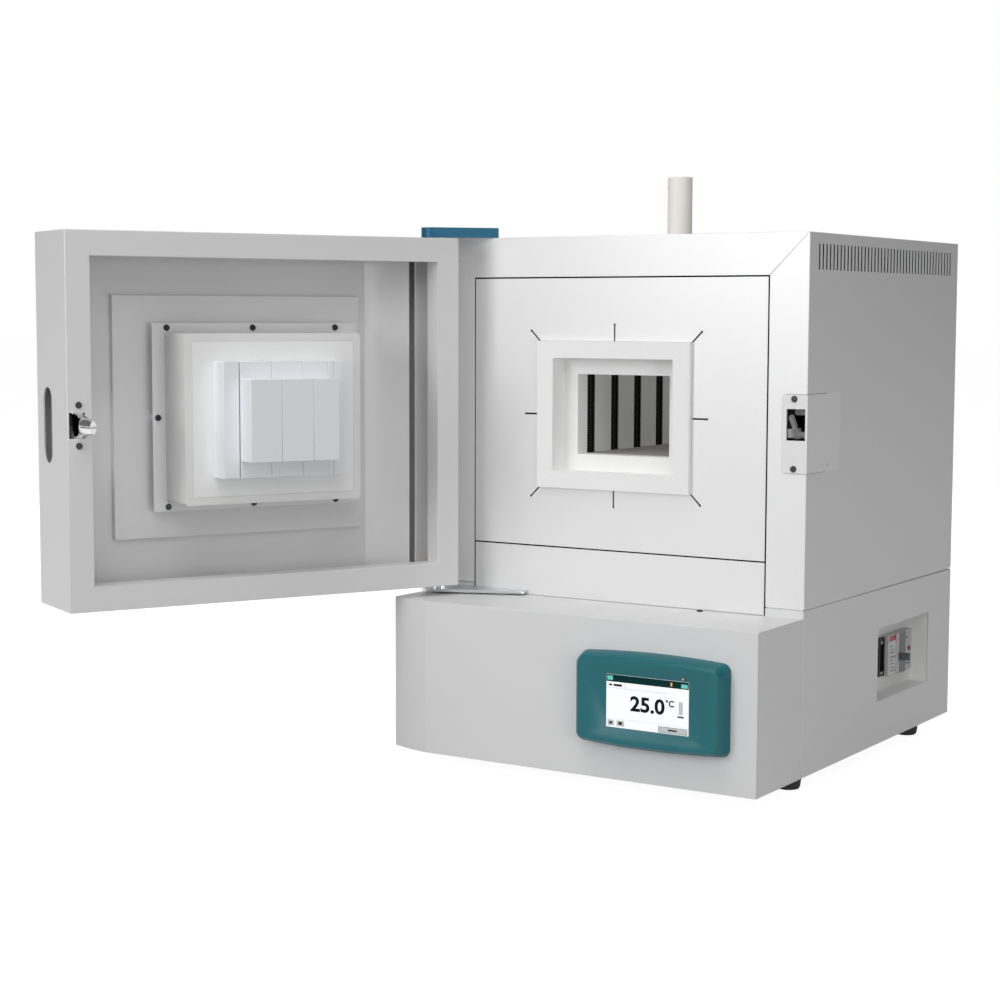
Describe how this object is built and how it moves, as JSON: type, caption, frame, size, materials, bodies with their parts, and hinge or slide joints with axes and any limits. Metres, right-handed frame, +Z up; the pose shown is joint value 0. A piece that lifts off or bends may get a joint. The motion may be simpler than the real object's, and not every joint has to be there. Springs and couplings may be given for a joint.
{
  "type": "muffle furnace",
  "caption": "Bench-top laboratory muffle furnace: swing door with a stepped fibre plug, heated fibre chamber, flue tube and a touch-screen console.",
  "frame": {"origin": "centre of the rectangle that the whole part covers on the floor with its door open as modelled, at floor level", "axes": "+X to the furnace's right side, seen from the front; +Y to its back; +Z up, along the flue"},
  "size_m": [0.684, 0.9026, 0.652],
  "materials": {
    "case_paint": "fine textured powder coat, light warm grey",
    "door_paint": "fine textured powder coat, light warm grey",
    "liner_paint": "smooth grey paint",
    "plain_steel": "bare sheet steel",
    "pan_paint": "smooth light paint",
    "tray_paint": "smooth white paint",
    "strike_paint": "powder coat as the case",
    "back_up_fibre": "loose fibre board",
    "hot_fibre": "hard vacuum-formed fibre board, chalky",
    "heating_wire": "oxidised resistance wire",
    "hearth_ceramic": "fired, slightly rough",
    "flue_ceramic": "fired, matt cream",
    "foot_rubber": "matt moulded rubber",
    "screw_steel": "zinc plated",
    "teal_plastic": "fine moulded texture, teal",
    "display_glass": "gloss touch window",
    "circuit_board": "solder mask",
    "breaker_plastic": "moulded, light grey",
    "dark_plastic": "moulded, dark grey",
    "amber_plastic": "moulded, orange brown",
    "black_plastic": "moulded, black",
    "bright_steel": "polished",
    "zinc_steel": "bright zinc plate",
    "teal_paint": "satin teal-blue paint",
    "sink_aluminium": "extruded",
    "bush_brass": "turned"
  },
  "bodies": {
    "cabinet": {"base_shell": "case_paint", "console_shell": "case_paint", "outer_casing": "case_paint", "upper_rear_panel": "case_paint", "lower_rear_panel": "case_paint", "front_stile_left": "case_paint", "front_stile_right": "case_paint", "front_rail": "case_paint", "face_plate": "case_paint", "apron_panel": "case_paint", "mid_deck": "plain_steel", "casing_rails": "plain_steel", "inner_casing": "plain_steel", "insulation_front": "back_up_fibre", "insulation_bottom": "back_up_fibre", "insulation_top": "back_up_fibre", "insulation_left": "back_up_fibre", "insulation_right": "back_up_fibre", "insulation_rear": "back_up_fibre", "muffle_collar": "hot_fibre", "chamber_floor": "hot_fibre", "chamber_roof": "hot_fibre", "chamber_rear": "hot_fibre", "heater_panel_left": "hot_fibre", "heater_panel_right": "hot_fibre", "heater_coils": "heating_wire", "hearth_plate": "hearth_ceramic", "flue_tube": "flue_ceramic", "thermocouple": "flue_ceramic", "feet": "foot_rubber", "cabinet_screws": "screw_steel", "control_housing": "teal_plastic", "display_glass": "display_glass", "control_board": "circuit_board", "switch_tray": "tray_paint", "breaker_body": "breaker_plastic", "terminal_port": "black_plastic", "strike_plate": "strike_paint", "catch_block": "black_plastic", "catch_rollers": "bright_steel", "top_hinge_bracket": "plain_steel", "top_hinge_cover": "teal_paint", "lower_hinge_plate": "zinc_steel", "hinge_pins": "bright_steel", "relay_heatsink": "sink_aluminium", "cable_gland": "black_plastic"},
    "door": {"door_shell": "door_paint", "door_liner": "liner_paint", "hinge_channel": "liner_paint", "hinge_bushes": "bush_brass", "plug_tray": "liner_paint", "plug_mounting_plate": "liner_paint", "plug_pan": "pan_paint", "plug_face_board": "hot_fibre", "plug_core_boards": "hot_fibre", "door_screws": "screw_steel", "latch_case": "plain_steel"},
    "latch": {"latch_rocker": "bright_steel"},
    "toggle": {"breaker_toggle": "dark_plastic"},
    "test_key": {"test_button": "amber_plastic"}
  },
  "joints": [
    {"name": "door_hinge", "type": "hinge", "parent": "cabinet", "child": "door", "pos_m": [-0.09493, -0.03586, 0.388], "axis": [0, 0, 1], "range_deg": [-18, 116.7]},
    {"name": "latch_pivot", "type": "hinge", "parent": "door", "child": "latch", "pos_m": [-0.28431, -0.40861, 0.3853], "axis": [0, 0, 1], "range_deg": [-4.5, 0], "stiffness_Nm_per_rad": 1.2},
    {"name": "toggle_pivot", "type": "hinge", "parent": "cabinet", "child": "toggle", "pos_m": [0.32317, 0.30734, 0.1025], "axis": [0, 0, 1], "range_deg": [-24, 0]},
    {"name": "test_push", "type": "slide", "parent": "cabinet", "child": "test_key", "axis": [-1, 0, 0], "range_m": [0, 0.0015], "stiffness_N_per_m": 800}
  ]
}
